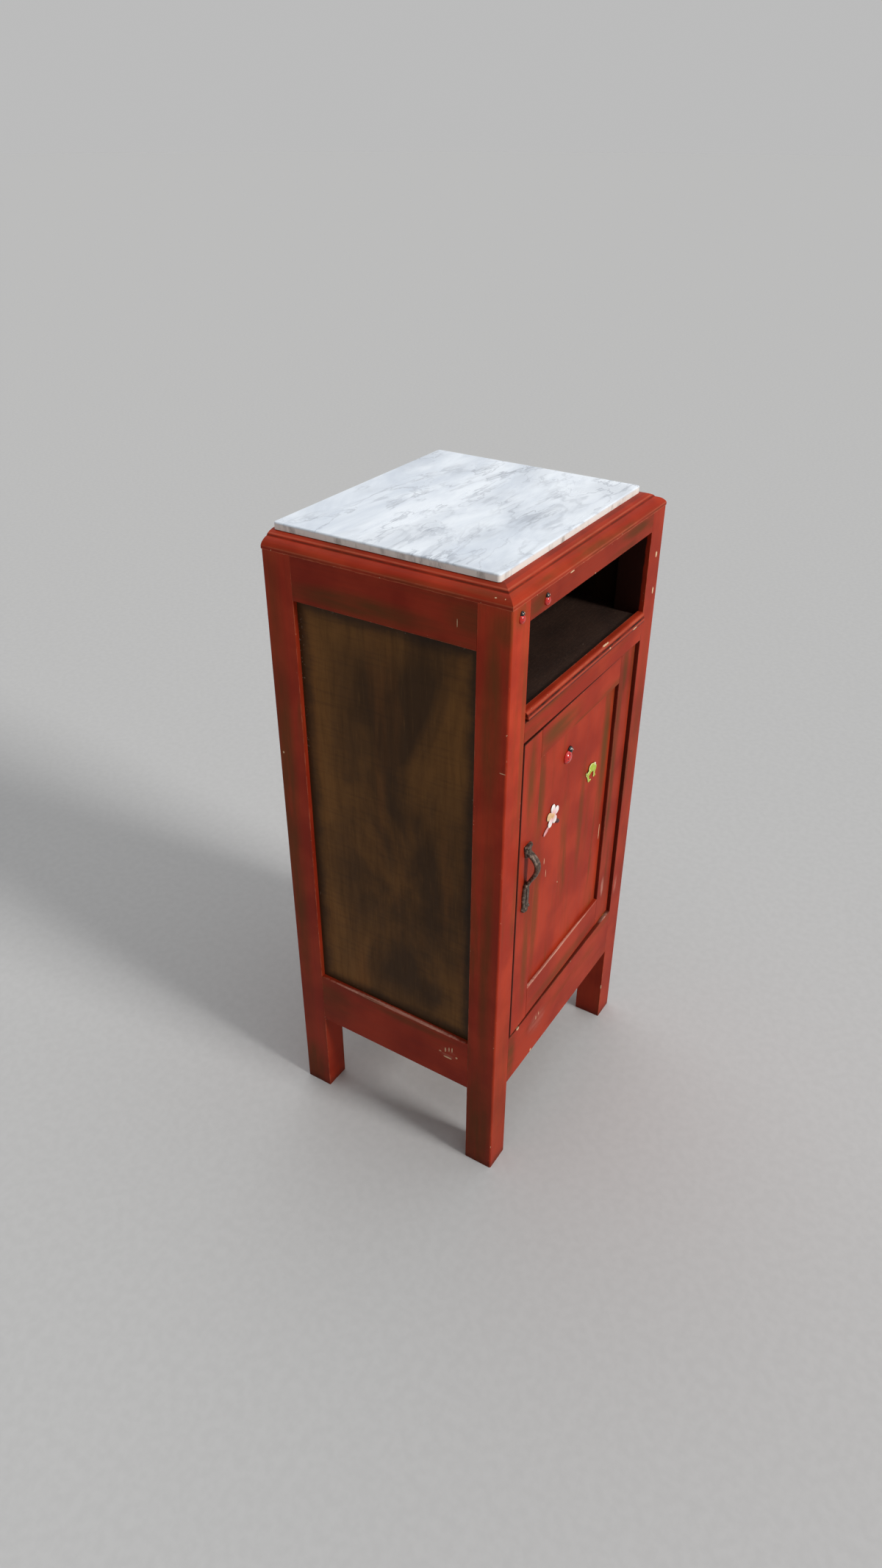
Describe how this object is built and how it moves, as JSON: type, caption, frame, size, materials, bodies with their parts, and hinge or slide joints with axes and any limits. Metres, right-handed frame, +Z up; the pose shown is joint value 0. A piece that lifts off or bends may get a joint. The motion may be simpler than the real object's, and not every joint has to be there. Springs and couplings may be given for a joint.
{
  "type": "nightstand",
  "caption": "Red-painted panelled bedside cabinet with a loose white marble slab, an open niche, an inset door on pivot pins with an iron bow pull, and small insect and frog figures.",
  "frame": {"origin": "bottom centre of the overall box, on the floor plane under the feet; the pull is part of that box, so the case's own centre is 8.4 mm behind it", "axes": "+Z up, -Y out of the door's front, +X to the viewer's right when facing the door"},
  "size_m": [0.362, 0.3168, 0.81],
  "materials": {
    "red_paint": "rubbed satin paint, worn at the edges",
    "panel_paint": "mottled dark matte paint",
    "dark_wood": "worn dark matte",
    "bare_wood": "bare matte",
    "marble": "polished, grey veins",
    "iron": "forged, dark, rubbed highlights",
    "steel": "plain",
    "brass": "plain",
    "catch_plastic": "matte",
    "ladybird_gloss": "gloss, black head and spots",
    "frog_paint": "satin paint",
    "flower_paint": "satin paint"
  },
  "bodies": {
    "carcass": {"back_bottom_rail": "red_paint", "back_panel": "panel_paint", "back_top_rail": "red_paint", "bottom_cleat_left": "bare_wood", "bottom_cleat_right": "bare_wood", "catch_magnet": "catch_plastic", "catch_screws": "steel", "cleat_screws": "steel", "cupboard_bottom": "bare_wood", "door_stop": "bare_wood", "frame_ladybirds": "ladybird_gloss", "front_bottom_rail": "red_paint", "front_middle_rail": "red_paint", "front_top_rail": "red_paint", "marble_top": "marble", "niche_shelf": "dark_wood", "pivot_plate_bottom": "brass", "pivot_plate_top": "brass", "pivot_screws": "steel", "post_back_left": "red_paint", "post_back_right": "red_paint", "post_front_left": "red_paint", "post_front_right": "red_paint", "shelf_cleat_left": "bare_wood", "shelf_cleat_right": "bare_wood", "shelf_nosing": "red_paint", "side_bottom_rail_left": "red_paint", "side_bottom_rail_right": "red_paint", "side_panel_left": "panel_paint", "side_panel_right": "panel_paint", "side_top_rail_left": "red_paint", "side_top_rail_right": "red_paint", "stop_screws": "steel", "sub_top": "bare_wood", "top_back_strip": "red_paint", "top_moulding_front": "red_paint", "top_moulding_left": "red_paint", "top_moulding_right": "red_paint"},
    "door": {"door_stile_left": "red_paint", "door_stile_right": "red_paint", "door_top_rail": "red_paint", "door_bottom_rail": "red_paint", "door_panel": "red_paint", "pivot_bush_top": "brass", "pivot_bush_bottom": "brass", "strike_plate": "steel", "strike_screws": "steel", "door_pull": "iron", "pull_nails": "iron", "door_ladybird": "ladybird_gloss", "frog_figure": "frog_paint", "flower_figure": "flower_paint"}
  },
  "joints": [
    {"name": "door_hinge", "type": "hinge", "parent": "carcass", "child": "door", "pos_m": [0.136, -0.13238, 0], "axis": [0, 0, 1], "range_deg": [-0.75, 110]}
  ]
}
